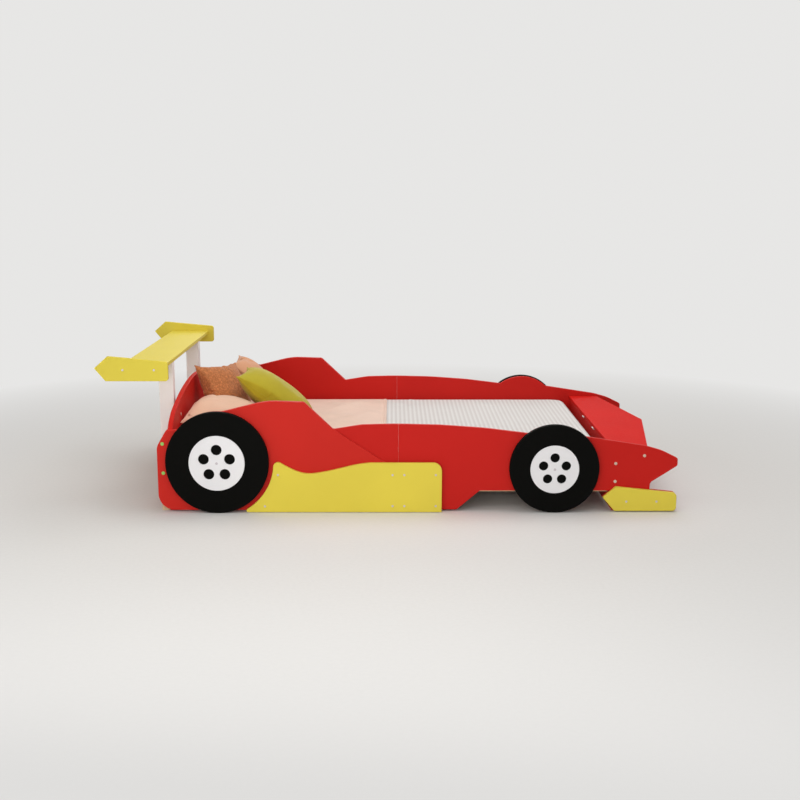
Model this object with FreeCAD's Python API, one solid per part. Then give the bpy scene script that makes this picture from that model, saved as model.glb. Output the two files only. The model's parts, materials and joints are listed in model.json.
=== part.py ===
"""Child's bed in the shape of a racing car, for a mattress 1372 mm wide and 1905 mm long.

Millimetres. +Z is up, +X points to the nose, the origin is on the floor under the middle of the
whole bed. "Right" is the car's right side (-Y) and "left" its left side (+Y). Every board of the
right side is made first and mirrored to the left.
"""
import FreeCAD
import Part

import math
import os

V = FreeCAD.Vector

# ---------------------------------------------------------------- driving dimensions
# bedding
mattress_length = 1935.0
mattress_width = 1372.0
mattress_thickness = 142.0
side_gap = 10.0              # mattress to side panel, each side
head_gap = 10.0              # mattress to headboard
foot_gap = 39.0              # mattress to footboard
soft_clearance = 0.3         # bedding to whatever it lies on

mattress_corner = 80.0       # rounding of its upright corners
mattress_rim = 22.0          # rounding of its upper and lower rims
sheet_thickness = 1.5
sheet_drop = 100.0           # striped sheet hangs this far down the mattress's sides
coverlet_thickness = 3.0
coverlet_drop = 60.0
coverlet_rear = 70.0         # coverlet's rear edge, from the headboard's inner face
coverlet_front = 959.0       # its hem, from the headboard's inner face

# boards
board = 18.0                 # side panels, footboard, front board, plates, posts
head_board = 22.0            # headboard
fender_board = 9.0           # fender board on the rear half of each side
hood_board = 15.0
box_floor_board = 9.0
edge_round = 2.5             # rounded edges of the painted boards

# side panel heights
panel_bottom = 7.0
underside = 95.0             # raised underside in front of the sill
shoulder_top = 376.0         # short level edge beside the headboard
fender_top = 504.0
notch_top = 380.0            # low point behind the fender
rail_top = 401.0             # crest of the side rail
rail_end_drop = 39.0         # front bump begins this far below its top
nose_start_drop = 53.0       # and ends this far below it
nose_tip = 232.0             # height of the nose tip

# side panel lengths
tail_reach = 69.0            # panel behind the headboard's inner face
nose_reach = 288.0           # nose tip in front of the footboard's inner face
notch_share = 0.34392        # low point, as a share of the way from rear to front wheel centre
hug_end = 85.0               # degrees round the rear tyre at which the edge leaves it
crown_rear_share = 0.4269    # fender's crown, from rear wheel centre to low point: its beginning
crown_front_share = 0.7519   # and its end
slant_run = 1.5267           # fender board's slanting edge: run for each unit of fall
sill_end = 774.0             # front end of the sill plate, behind the footboard's inner face
sill_top = 229.0
sill_bottom = 1.5
seam_shift = 23.0            # seam of the panel halves, in front of the middle

# wheels
rear_wheel_radius = 231.0
front_wheel_radius = 201.0
rear_wheel_back = 28.0       # tyre's rear edge, behind the headboard's inner face
front_wheel_station = 269.0  # centre, behind the footboard's inner face
tyre_thickness = 30.0
hub_thickness = 6.0
rear_hub_radius = 125.0
front_hub_radius = 109.0
hub_holes = 5
hub_hole_share = 0.192       # hole radius and hole circle as shares of the hub radius
hub_circle_share = 0.49
arch_margin = 4.0            # panel edge stays this far inside the tyres
sill_wheel_gap = 20.0        # sill plate to rear tyre

# headboard arch
arch_top = 517.0
arch_shoulder = 447.0
arch_shoulder_in = 132.0     # end of the shoulder curve, from the side panel
arch_foot = 0.0

# spoiler
spoiler_reach = 334.0        # plate tip behind the headboard's inner face
spoiler_right_end = 7.0      # plate's front end, behind the headboard's inner face
spoiler_plate_bottom = 595.0
spoiler_tip_height = 653.0
spoiler_shelf_z = 636.0
spoiler_shelf_depth = 200.0
spoiler_shelf_front = 39.0   # shelf's front edge, behind the headboard's inner face
post_depth = 68.0
post_width = 44.0
post_offset = 388.0          # post centre, from the middle of the bed
rail_height = 28.0
upper_rail_z = 384.0
lower_rail_z = 110.0
rail_half_length = 482.0
cleat_width = 36.0
cleat_top = 325.0

# base under the mattress
ledger_width = 25.0
ledger_height = 28.0
slat_width = 70.0
slat_thickness = 12.0
slat_count = 12
slat_banks = 3
slat_end_gap = 2.0
slat_margin = 12.0           # first and last slat to the end boards
beam_width = 40.0
beam_height = 60.0
leg_width = 45.0
block_length = 30.0
block_height = 30.0

# nose end
front_board_back = 128.0     # front board's rear face, in front of the footboard's inner face
front_board_bottom = 5.0
hood_shoulder = 155.0        # hood stays full width up to here
hood_point = 268.0           # hood's front point
hood_side_gap = 2.0
hood_rest_gap = 0.3
box_floor_z = 60.0
plate_bottom = 5.0           # nose plate above the floor

# hood hinges
hinge_offset = 151.0         # each hinge from the middle of the bed
hinge_length = 44.0
hinge_leaf = 1.2
hinge_leaf_gap = 0.2
hinge_leaf_reach = 15.0
knuckle_radius = 3.4
hinge_pin_radius = 1.5
hinge_running_gap = 0.05
knuckle_end_gap = 0.4
middle_knuckle = 20.0

# fasteners
screw_head_radius = 5.0
screw_head_height = 1.4
screw_shank_radius = 2.0
screw_bite = 5.0             # sill screws reach this far into the side panel
wheel_screw_bite = 15.0      # wheel screws reach this far behind the tyre
screw_hole_gap = 0.05
bolt_head_radius = 7.0
bolt_head_height = 2.0
bolt_shank_radius = 3.0
bolt_short_of_nut = 3.0      # bolt's end, before the barrel nut's centre
cleat_bolt_length = 50.0
nut_radius = 5.0
nut_length = 14.0
nut_depth = 45.0             # barrel nut's centre, from the side panel's inner face
cap_radius = 8.0
cap_height = 2.4
wheel_screw_head_radius = 6.0
foot_bolt_heights = (221.0, 138.0)
front_bolt_height = 257.0
front_lower_bolt_height = 62.0
cleat_bolt_heights = (313.0, 179.0)
cleat_bolt_back = 21.0       # behind the headboard's rear face
head_bolt_in = 19.0          # from the spoiler rail's end
head_bolt_up = 17.0          # above the spoiler rail's lower edge

# ---------------------------------------------------------------- derived places
interior_length = head_gap + mattress_length + foot_gap
interior_width = mattress_width + 2 * side_gap
x_head = (spoiler_reach - interior_length - nose_reach) / 2
x_foot = x_head + interior_length
x_seam = x_head + interior_length / 2 + seam_shift
y_in = interior_width / 2
y_out = y_in + board
y_fender = y_out + fender_board
y_sill = y_fender + board
x_rear_wheel = x_head - rear_wheel_back + rear_wheel_radius
x_front_wheel = x_foot - front_wheel_station
x_sill_end = x_foot - sill_end
x_notch = x_rear_wheel + notch_share * (x_front_wheel - x_rear_wheel)
x_head_back = x_head - head_board
x_post_front = x_head_back - board
x_post_back = x_post_front - post_depth

slat_top = (panel_bottom + 109.0) + slat_thickness
ledger_top = slat_top - slat_thickness
mattress_bottom = slat_top + soft_clearance
mattress_top = mattress_bottom + mattress_thickness

front_arch_top = 2 * front_wheel_radius - arch_margin
rail_end = front_arch_top - rail_end_drop
nose_top = front_arch_top - nose_start_drop

foot_top = 270.0
z_hinge = foot_top + hinge_leaf + hinge_leaf_gap / 2
x_hinge = x_foot - knuckle_radius - hinge_leaf_gap
hood_bottom = foot_top + 2 * hinge_leaf + hinge_leaf_gap
x_front_board = x_foot + front_board_back


# ---------------------------------------------------------------- outline helpers (x, z) plane
def at(x, z, y=0.0):
    return V(x, y, z)


def line(p, q):
    return Part.LineSegment(at(*p), at(*q)).toShape()


def arc(p, m, q):
    return Part.Arc(at(*p), at(*m), at(*q)).toShape()


def curve(points):
    spline = Part.BSplineCurve()
    spline.interpolate([at(*p) for p in points])
    return spline.toShape()


def rounded(vertices):
    """Closed outline of straight runs; each vertex is (x, z, corner radius).
    Two corners that would overlap on the run between them both get smaller."""
    count = len(vertices)
    points = [at(x, z) for x, z, _ in vertices]
    ways, reaches = [], []
    for i, (_, _, radius) in enumerate(vertices):
        to_last = (points[i - 1] - points[i]).normalize()
        to_next = (points[(i + 1) % count] - points[i]).normalize()
        ways.append((to_last, to_next))
        reaches.append(radius / math.tan(to_last.getAngle(to_next) / 2))
    fits = []
    for i in range(count):
        run = (points[(i + 1) % count] - points[i]).Length
        taken = reaches[i] + reaches[(i + 1) % count]
        fits.append(min(1.0, run / taken) if taken else 1.0)
    corners = []
    for i, here in enumerate(points):
        reach = reaches[i] * min(fits[i - 1], fits[i])
        if reach == 0:
            corners.append((here, None, here))
            continue
        to_last, to_next = ways[i]
        half = to_last.getAngle(to_next) / 2
        radius = reach * math.tan(half)
        inward = (to_last + to_next).normalize()
        middle = here + inward * (radius / math.sin(half) - radius)
        corners.append((here + to_last * reach, middle, here + to_next * reach))
    edges = []
    for i, (start, middle, end) in enumerate(corners):
        if middle is not None:
            edges.append(Part.Arc(start, middle, end).toShape())
        following = corners[(i + 1) % count][0]
        if (following - end).Length > 1e-6:
            edges.append(Part.LineSegment(end, following).toShape())
    return edges


def face_of(edges):
    return Part.Face(Part.Wire(edges))


def slab(face, y_near, thickness, round_edges=0.0):
    """Board whose outline lies in the x-z plane, from y_near towards +Y."""
    flat = face.copy()
    flat.translate(V(0, y_near, 0))
    solid = flat.extrude(V(0, thickness, 0))
    if round_edges:
        solid = round_faces(solid, y_near, y_near + thickness, round_edges)
    return solid


def round_faces(solid, y_first, y_last, radius):
    """Round every edge that lies in one of the board's two faces."""
    edges = []
    for edge in solid.Edges:
        low, high = edge.BoundBox.YMin, edge.BoundBox.YMax
        flat = high - low < 1e-3
        if flat and min(abs(low - y_first), abs(low - y_last)) < 1e-3:
            edges.append(edge)
    return solid.makeFillet(radius, edges)


def box(x0, x1, y0, y1, z0, z1):
    return Part.makeBox(x1 - x0, y1 - y0, z1 - z0, V(x0, y0, z0))


def rod(radius, length, start, direction):
    return Part.makeCylinder(radius, length, start, direction)


def mirrored(shape):
    return shape.mirror(V(0, 0, 0), V(0, 1, 0))


def group(solids):
    return Part.makeCompound(solids)


def save(name, shape):
    shape.exportStep("parts/" + name + ".step")
    volume = sum(s.Volume for s in shape.Solids)
    print("%-26s solids %2d  volume %.0f  valid %s" % (name, len(shape.Solids), volume, shape.isValid()))


# ---------------------------------------------------------------- outlines of the right side
def bow(x, z, radius, start, end):
    """Vertices of an arc round (x, z) between two angles in degrees, entered and left at a corner."""
    def on(reach, angle):
        return x + reach * math.cos(math.radians(angle)), z + reach * math.sin(math.radians(angle))

    half = math.radians(abs(end - start) / 2)
    turn = on(radius / math.cos(half), (start + end) / 2)
    return [(*on(radius, start), 0), (*turn, radius), (*on(radius, end), 0)]


def tail_vertices():
    """Rear end: lower corner, upright edge, slanted ear and the level shoulder."""
    tail = x_head - tail_reach
    return [(tail, panel_bottom, 75), (tail, shoulder_top - 76, 60), (x_head - 24, shoulder_top, 12)]


def fender_top_vertices():
    """Top edge of the fender: round the tyre, over the crown and down to the low point."""
    radius = rear_wheel_radius - arch_margin
    start = 180 - math.degrees(math.asin((shoulder_top - rear_wheel_radius) / radius))
    hug = bow(x_rear_wheel, rear_wheel_radius, radius, start, hug_end)
    run = x_notch - x_rear_wheel
    return hug + [(x_rear_wheel + crown_rear_share * run, fender_top + 3.5, 350),
                  (x_rear_wheel + crown_front_share * run, fender_top - 2, 16)]


# side rail: share of the way from the low point to the front wheel's centre, rise over rail_top, radius
rail_shape = [(0.128, -2.5, 250), (0.2792, 1.0, 1500), (0.4808, -3.5, 1500), (0.6825, -17.5, 1500)]


def rail_vertices():
    """Side rail in front of the fender, then the bump that follows the front tyre."""
    radius = front_wheel_radius - arch_margin
    start = 180 - math.degrees(math.asin((rail_end - front_wheel_radius) / radius))
    end = math.degrees(math.asin((nose_top - front_wheel_radius) / radius))
    run = x_front_wheel - x_notch
    rail = [(x_notch + share * run, rail_top + rise, r) for share, rise, r in rail_shape]
    bump = bow(x_front_wheel, front_wheel_radius, radius, start, end)
    return [(x_notch, notch_top - 2, 18)] + rail + bump


def nose_vertices():
    """Sloping nose, rounded tip and the undercut down to the foot."""
    f = x_foot
    return [(f + 140, nose_tip + 70.5, 200), (f + 215, nose_tip + 49, 200),
            (f + nose_reach, nose_tip + 13, 12), (f + nose_reach, nose_tip - 21, 12),
            (f + 168, 133, 20), (f + 166, foot_line(166), 0)]


def foot_line(x):
    """Height of the nose plate's sloping top edge, x in front of the footboard's inner face."""
    return 117.0 - (x - 11.0) * 26.0 / 251.0


def foot_vertices():
    """Front end and bottom shared by the side panel's foot and the nose plate, up to the tip."""
    f = x_foot
    return [(f + 286, foot_line(286), 20), (f + 286, plate_bottom, 16), (f + 7, plate_bottom, 4),
            (f - 47, 67, 4)]


def panel_vertices():
    """Whole side panel, tail to nose and back along the underside."""
    f = x_foot
    underside_run = [(f - 14.5, underside, 0), (f - 601, underside, 10), (f - 705, panel_bottom, 6)]
    return (tail_vertices() + fender_top_vertices() + rail_vertices() + nose_vertices()
            + foot_vertices() + underside_run)


def fender_vertices():
    """Fender board: the panel's rear outline, then a free slanting edge down behind the sill."""
    front = x_sill_end - 7
    top = sill_top - 16
    foot_of_slant = x_notch + (notch_top - top) * slant_run
    return (tail_vertices() + fender_top_vertices()
            + [(x_notch, notch_top, 60), (foot_of_slant, top, 30), (front, top, 3),
               (front, panel_bottom, 3)])


def nose_plate_vertices():
    """Arrow-shaped nose plate, tip to the rear."""
    return foot_vertices() + [(x_foot + 11, foot_line(11), 6)]


def sill_hollow(z):
    """The sill plate's hollow edge round the rear tyre, at height z."""
    radius = rear_wheel_radius + sill_wheel_gap
    return x_rear_wheel + math.sqrt(radius ** 2 - (rear_wheel_radius - z) ** 2)


# sill plate's top: share of the way from its peak to its front end, rise over sill_top
sill_dip = [(0.0535, -25), (0.1522, -49), (0.2272, -46), (0.3023, -36), (0.3954, -20),
            (0.4927, -5), (0.5552, 0)]
sill_hollow_low = 16.0
sill_hollow_high = sill_top - 14


def sill_outline():
    """Sill plate: hollow round the rear tyre, a peak, an S-shaped dip and a long flat."""
    radius = rear_wheel_radius + sill_wheel_gap
    low = (sill_hollow(sill_hollow_low), sill_hollow_low)
    high = (sill_hollow(sill_hollow_high), sill_hollow_high)
    peak_end = (high[0] + 37, sill_top - 4)
    run = x_sill_end - peak_end[0]
    dip = [(peak_end[0] + share * run, sill_top + rise) for share, rise in sill_dip]
    turn = math.radians(-30.0)
    middle = (x_rear_wheel + radius * math.cos(turn), rear_wheel_radius + radius * math.sin(turn))
    corner = 38.0
    right = x_sill_end
    return [
        arc(low, middle, high),
        arc(high, (high[0] + 10, sill_top - 1), peak_end),
        curve([peak_end] + dip),
        line(dip[-1], (right - corner, sill_top)),
        arc((right - corner, sill_top), (right - corner * 0.293, sill_top - corner * 0.293),
            (right, sill_top - corner)),
        line((right, sill_top - corner), (right, sill_bottom)),
        line((right, sill_bottom), (low[0] + 6, sill_bottom)),
        arc((low[0] + 6, sill_bottom), (low[0] - 3.5, sill_bottom + 5.5), low),
    ]


def spoiler_plate_vertices():
    """Arrow-shaped end plate of the spoiler, tip to the rear."""
    h = x_head
    front = h - spoiler_right_end
    top_front = 682.0
    return [(h - spoiler_reach, spoiler_tip_height, 3), (h - 274, 706, 6), (front, top_front, 13),
            (front, spoiler_plate_bottom, 13), (h - 286, spoiler_plate_bottom, 4)]


# ---------------------------------------------------------------- fasteners
def fastener(start, inward, head_radius, head_height, shank_radius, length):
    """Headed fastener; start is on the surface and inward points into the boards."""
    head = rod(head_radius, head_height, start - inward * head_height, inward)
    crown = [e for e in head.Edges if e.Closed and
             abs((e.CenterOfMass - (start - inward * head_height)).dot(inward)) < 1e-6]
    head = head.makeFillet(head_height * 0.55, crown)
    return head.fuse(rod(shank_radius, length, start, inward)).removeSplitter()


def shank_hole(start, inward, shank_radius, length):
    return rod(shank_radius + screw_hole_gap, length + 0.5, start, inward)


def drilled(shape, holes):
    """The board with the holes that reach it."""
    reached = [h for h in holes if h.BoundBox.intersect(shape.BoundBox)]
    if not reached:
        return shape
    return shape.cut(reached)


# places of the face screws on the right side: (x, z, outer surface y)
sill_screws = [(sill_hollow(sill_hollow_high) + 20.5, 174), (sill_hollow(sill_hollow_low) + 80.5, 29)]
for offset in (-26.5, 26.5):
    sill_screws += [(x_seam + offset, 174), (x_seam + offset, 30)]
sill_screws += [(x_sill_end - 27, 174), (x_sill_end - 27, 30)]
nose_screws = [(x_foot + 60, 49), (x_foot + 196, 49)]
spoiler_shelf_mid = spoiler_shelf_z + board / 2
spoiler_screws = [(x_head - 69, spoiler_shelf_mid), (x_head - 208, spoiler_shelf_mid)]
screw_length = board + fender_board + screw_bite
INWARD = V(0, 1, 0)
face_places = [at(x, z, -y_sill) for x, z in sill_screws]
face_places += [at(x, z, -y_out - board) for x, z in nose_screws]
face_places += [at(x, z, -y_out) for x, z in spoiler_screws]
wheel_faces = [
    (x_rear_wheel, rear_wheel_radius, -y_fender - tyre_thickness - hub_thickness),
    (x_front_wheel, front_wheel_radius, -y_out - tyre_thickness - hub_thickness),
]
wheel_screw_length = tyre_thickness + hub_thickness + wheel_screw_bite
# bolts through the side panel into the end boards: (x, z)
x_foot_mid = x_foot + board / 2
x_front_mid = x_front_board + board / 2
panel_bolt_places = [(x_foot_mid, z) for z in foot_bolt_heights] + [(x_front_mid, front_bolt_height)]
hidden_bolt_places = [(x_front_mid, front_lower_bolt_height)]
bolt_length = board + nut_depth - bolt_short_of_nut
cleat_bolt_places = [(x_head_back - cleat_bolt_back, z) for z in cleat_bolt_heights]
head_bolt_places = [(side * (rail_half_length - head_bolt_in), upper_rail_z + head_bolt_up)
                    for side in (-1, 1)]


def side_holes():
    """Every hole drilled in the right side's boards."""
    holes = [shank_hole(p, INWARD, screw_shank_radius, screw_length) for p in face_places]
    for x, z, y in wheel_faces:
        holes.append(shank_hole(at(x, z, y), INWARD, screw_shank_radius, wheel_screw_length))
    for x, z in panel_bolt_places + hidden_bolt_places:
        holes.append(shank_hole(at(x, z, -y_out), INWARD, bolt_shank_radius, bolt_length))
    for x, z in cleat_bolt_places:
        holes.append(shank_hole(at(x, z, -y_fender), INWARD, bolt_shank_radius, cleat_bolt_length))
    return holes


def both_sides(solids):
    return group(solids + [mirrored(s) for s in solids])


# ---------------------------------------------------------------- side boards
def make_sides():
    holes = side_holes()
    whole = slab(face_of(rounded(panel_vertices())), -y_out, board, edge_round)
    far = 4000.0
    rear = whole.common(box(-far, x_seam - 0.15, -far, far, -far, far))
    front = whole.common(box(x_seam + 0.15, far, -far, far, -far, far))

    fender = slab(face_of(rounded(fender_vertices())), -y_fender, fender_board, edge_round)
    sill = slab(face_of(sill_outline()), -y_sill, board, edge_round)
    nose = slab(face_of(rounded(nose_plate_vertices())), -y_out - board, board, edge_round)

    boards = {
        "side_panel_rear": rear,
        "side_panel_front": front,
        "fender_board": fender,
        "sill_plate": sill,
        "nose_plate": nose,
    }
    for name, solid in boards.items():
        solid = drilled(solid, holes)
        save(name + "_right", solid)
        save(name + "_left", mirrored(solid))


def make_wheel(name, x, radius, hub_radius, y_face, holes):
    """Decorative wheel: flat tyre disc on the panel, hub disc with five holes on the tyre."""
    centre = at(x, radius, y_face)
    tyre = rod(radius, tyre_thickness, centre - V(0, tyre_thickness, 0), INWARD)
    tyre = round_faces(tyre, y_face - tyre_thickness, y_face, 3.0)
    hub_front = y_face - tyre_thickness - hub_thickness
    hub = rod(hub_radius, hub_thickness, at(x, radius, hub_front), INWARD)
    for i in range(hub_holes):
        angle = math.radians(90 + i * 360 / hub_holes)
        reach = hub_radius * hub_circle_share
        hole_at = at(x + reach * math.cos(angle), radius + reach * math.sin(angle), hub_front - 1)
        hub = hub.cut(rod(hub_radius * hub_hole_share, hub_thickness + 2, hole_at, INWARD))
    outer = [e for e in hub.Edges if e.Closed and abs(e.BoundBox.YMax - hub_front) < 1e-6]
    hub = hub.makeFillet(1.2, outer)
    for part_name, solid in (("tyre_" + name, tyre), ("hub_" + name, hub)):
        solid = drilled(solid, holes)
        save(part_name + "_right", solid)
        save(part_name + "_left", mirrored(solid))


# ---------------------------------------------------------------- head end and spoiler
def make_headboard():
    """Arched board between the side panels, standing on the floor."""
    shoulder_y = y_in - arch_shoulder_in
    start = V(0, -y_in, shoulder_top)
    left = V(0, -shoulder_y, arch_shoulder)
    edges = [
        Part.Arc(start, V(0, -y_in + 52, shoulder_top + 40), left).toShape(),
        Part.Arc(left, V(0, 0, arch_top), V(0, shoulder_y, arch_shoulder)).toShape(),
        Part.Arc(V(0, shoulder_y, arch_shoulder), V(0, y_in - 52, shoulder_top + 40),
                 V(0, y_in, shoulder_top)).toShape(),
        Part.LineSegment(V(0, y_in, shoulder_top), V(0, y_in, arch_foot)).toShape(),
        Part.LineSegment(V(0, y_in, arch_foot), V(0, -y_in, arch_foot)).toShape(),
        Part.LineSegment(V(0, -y_in, arch_foot), start).toShape(),
    ]
    face = Part.Face(Part.Wire(edges))
    face.translate(V(x_head_back, 0, 0))
    solid = face.extrude(V(head_board, 0, 0))
    arch = [e for e in solid.Edges
            if e.BoundBox.XLength < 1e-3 and e.BoundBox.ZMin > shoulder_top - 1]
    solid = solid.makeFillet(edge_round, arch)
    holes = [shank_hole(V(x_head, y, z), V(-1, 0, 0), bolt_shank_radius, head_board + board)
             for y, z in head_bolt_places]
    save("headboard", drilled(solid, holes))

    x_rail = x_head_back - board
    rails = {"spoiler_rail_upper": upper_rail_z, "spoiler_rail_lower": lower_rail_z}
    for name, z in rails.items():
        rail = box(x_rail, x_head_back, -rail_half_length, rail_half_length, z, z + rail_height)
        save(name, drilled(rail, holes))

    cleat = box(x_head_back - cleat_width, x_head_back, -y_in, -y_in + cleat_width, 0, cleat_top)
    cleat = drilled(cleat, side_holes())
    save("corner_cleat_right", cleat)
    save("corner_cleat_left", mirrored(cleat))

    bolts = [fastener(V(x_head, y, z), V(-1, 0, 0), bolt_head_radius, bolt_head_height,
                      bolt_shank_radius, head_board + board - 1) for y, z in head_bolt_places]
    return bolts


def make_spoiler():
    holes = side_holes()
    x_front = x_head - spoiler_shelf_front
    shelf = box(x_front - spoiler_shelf_depth, x_front, -y_in, y_in,
                spoiler_shelf_z, spoiler_shelf_z + board)
    long_edges = [e for e in shelf.Edges if e.BoundBox.YLength > y_in]
    shelf = shelf.makeFillet(edge_round, long_edges)
    left_holes = [mirrored(h) for h in holes]
    save("spoiler_shelf", drilled(shelf, holes + left_holes))
    plate = slab(face_of(rounded(spoiler_plate_vertices())), -y_out, board, edge_round)
    plate = drilled(plate, holes)
    save("spoiler_plate_right", plate)
    save("spoiler_plate_left", mirrored(plate))
    post = box(x_post_back, x_post_front, -post_offset - post_width / 2, -post_offset + post_width / 2,
               0, spoiler_shelf_z)
    upright = [e for e in post.Edges if e.BoundBox.ZLength > spoiler_shelf_z / 2]
    post = post.makeFillet(edge_round, upright)
    save("spoiler_post_right", post)
    save("spoiler_post_left", mirrored(post))


# ---------------------------------------------------------------- foot end
def barrel_nut_places():
    """Centres of the barrel nuts in the right ends of the foot and front boards."""
    return [at(x, z, -y_in + nut_depth) for x, z in panel_bolt_places + hidden_bolt_places]


def make_foot_end():
    holes = side_holes()
    nut_holes = [rod(nut_radius + screw_hole_gap, board + 1, p - V(board / 2 + 0.5, 0, 0), V(1, 0, 0))
                 for p in barrel_nut_places()]
    drill = holes + nut_holes
    drill += [mirrored(h) for h in drill]
    footboard = box(x_foot, x_foot + board, -y_in, y_in, 0, foot_top)
    save("footboard", drilled(footboard, drill))
    front = box(x_front_board, x_front_board + board, -y_in, y_in,
                front_board_bottom, hood_bottom - hood_rest_gap)
    save("front_board", drilled(front, drill))
    floor = box(x_foot + board, x_front_board, -y_in, y_in, box_floor_z, box_floor_z + box_floor_board)
    save("hood_box_floor", floor)


def make_hood():
    """Pointed hood board that lies between the side panels."""
    half = y_in - hood_side_gap
    corners = [(x_foot, -half, 3), (x_foot + hood_shoulder, -half, 25), (x_foot + hood_point, 0, 30),
               (x_foot + hood_shoulder, half, 25), (x_foot, half, 3)]
    face = face_of(rounded(corners))
    face.rotate(V(0, 0, 0), V(1, 0, 0), 90)
    solid = face.extrude(V(0, 0, 1) * hood_board)
    low = solid.BoundBox.ZMin
    solid.translate(V(0, 0, hood_bottom - low))
    edges = [e for e in solid.Edges
             if e.BoundBox.ZLength < 1e-3 and abs(e.BoundBox.ZMin - hood_bottom - hood_board) < 1e-3]
    save("hood", solid.makeFillet(edge_round, edges))


def hinge_barrel(y0, y1):
    return rod(knuckle_radius, y1 - y0, V(x_hinge, y0, z_hinge), V(0, 1, 0))


def make_hinges():
    """Two butt hinges let in between the footboard's top edge and the hood."""
    fixed, moving, pins = [], [], []
    fixed_z = foot_top
    moving_z = foot_top + hinge_leaf + hinge_leaf_gap
    x_plate = x_foot + hinge_leaf_gap
    x_end = x_foot + hinge_leaf_reach
    for middle in (-hinge_offset, hinge_offset):
        y0, y1 = middle - hinge_length / 2, middle + hinge_length / 2
        inner0 = middle - middle_knuckle / 2
        inner1 = middle + middle_knuckle / 2
        bore = rod(hinge_pin_radius + hinge_running_gap, hinge_length + 2,
                   V(x_hinge, y0 - 1, z_hinge), V(0, 1, 0))
        leaf = box(x_plate, x_end, y0, y1, fixed_z, fixed_z + hinge_leaf)
        for a, b in ((y0, inner0 - knuckle_end_gap), (inner1 + knuckle_end_gap, y1)):
            leaf = leaf.fuse(hinge_barrel(a, b))
            leaf = leaf.fuse(box(x_hinge, x_plate, a, b, fixed_z, fixed_z + hinge_leaf))
        fixed.append(leaf.cut(bore).removeSplitter())
        leaf = box(x_plate, x_end, y0, y1, moving_z, moving_z + hinge_leaf)
        leaf = leaf.fuse(hinge_barrel(inner0, inner1))
        leaf = leaf.fuse(box(x_hinge, x_plate, inner0, inner1, moving_z, moving_z + hinge_leaf))
        moving.append(leaf.cut(bore).removeSplitter())
        pins.append(rod(hinge_pin_radius, hinge_length, V(x_hinge, y0, z_hinge), V(0, 1, 0)))
    save("hinge_leaves_footboard", group(fixed))
    save("hinge_leaves_hood", group(moving))
    save("hinge_pins", group(pins))


# ---------------------------------------------------------------- base under the mattress
def make_base():
    ledger_z = ledger_top - ledger_height
    ledger = box(x_head, x_foot, -y_in, -y_in + ledger_width, ledger_z, ledger_top)
    ledger = drilled(ledger, side_holes())
    save("ledger_right", ledger)
    save("ledger_left", mirrored(ledger))

    beam_z = ledger_top - beam_height
    save("centre_beam", box(x_head, x_foot, -beam_width / 2, beam_width / 2, beam_z, ledger_top))
    half_leg = leg_width / 2
    leg_places = {"centre_leg_rear": x_head + interior_length / 3,
                  "centre_leg_front": x_head + interior_length * 2 / 3}
    for name, x in leg_places.items():
        save(name, box(x - half_leg, x + half_leg, -half_leg, half_leg, 0, beam_z))
    blocks = [
        box(x_head, x_head + block_length, -beam_width, beam_width, beam_z - block_height, beam_z),
        box(x_foot - block_length, x_foot, -beam_width, beam_width, beam_z - block_height, beam_z),
    ]
    save("beam_blocks", group(blocks))

    half = y_in - slat_end_gap
    first = x_head + slat_margin
    pitch = (interior_length - 2 * slat_margin - slat_width) / (slat_count - 1)
    per_bank = slat_count // slat_banks
    for bank in range(slat_banks):
        slats = []
        for i in range(bank * per_bank, (bank + 1) * per_bank):
            x = first + i * pitch
            slats.append(box(x, x + slat_width, -half, half, ledger_top, slat_top))
        save("slats_%d" % (bank + 1), group(slats))


# ---------------------------------------------------------------- fasteners as nodes
def make_fasteners(head_bolts):
    screws = [fastener(p, INWARD, screw_head_radius, screw_head_height, screw_shank_radius,
                       screw_length) for p in face_places]
    save("face_screws", both_sides(screws))
    wheel = [fastener(at(x, z, y), INWARD, wheel_screw_head_radius, screw_head_height,
                      screw_shank_radius, wheel_screw_length) for x, z, y in wheel_faces]
    save("wheel_screws", both_sides(wheel))
    bolts = [fastener(at(x, z, -y_out), INWARD, bolt_head_radius, bolt_head_height,
                      bolt_shank_radius, bolt_length) for x, z in panel_bolt_places]
    hidden = [rod(bolt_shank_radius, bolt_length, at(x, z, -y_out), INWARD)
              for x, z in hidden_bolt_places]
    save("panel_bolts", group(list(both_sides(bolts + hidden).Solids) + head_bolts))
    nuts = []
    for p in barrel_nut_places():
        nut = rod(nut_radius, nut_length, p - V(nut_length / 2, 0, 0), V(1, 0, 0))
        nuts.append(nut.cut(shank_hole(V(p.x, -y_out, p.z), INWARD, bolt_shank_radius, bolt_length)))
    save("barrel_nuts", both_sides(nuts))
    capped = [fastener(at(x, z, -y_fender), INWARD, cap_radius, cap_height, bolt_shank_radius,
                       cleat_bolt_length) for x, z in cleat_bolt_places]
    save("capped_bolts", both_sides(capped))


# ---------------------------------------------------------------- bedding
def soft_block(grow, z0):
    """Block with the mattress's outline grown all round and on top, its upper rim rounded."""
    x0 = x_head + head_gap - grow
    half = mattress_width / 2 + grow
    solid = box(x0, x0 + mattress_length + 2 * grow, -half, half, z0, mattress_top + grow)
    upright = [e for e in solid.Edges if e.BoundBox.ZLength > 1]
    solid = solid.makeFillet(mattress_corner + grow, upright)
    rim = [e for e in solid.Edges if e.BoundBox.ZMin > mattress_top + grow - 1e-3]
    return solid.makeFillet(mattress_rim + grow, rim)


def make_mattress():
    solid = soft_block(0.0, mattress_bottom)
    rim = [e for e in solid.Edges if e.BoundBox.ZMax < mattress_bottom + 1e-3]
    save("mattress", solid.makeFillet(mattress_rim, rim))


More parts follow.
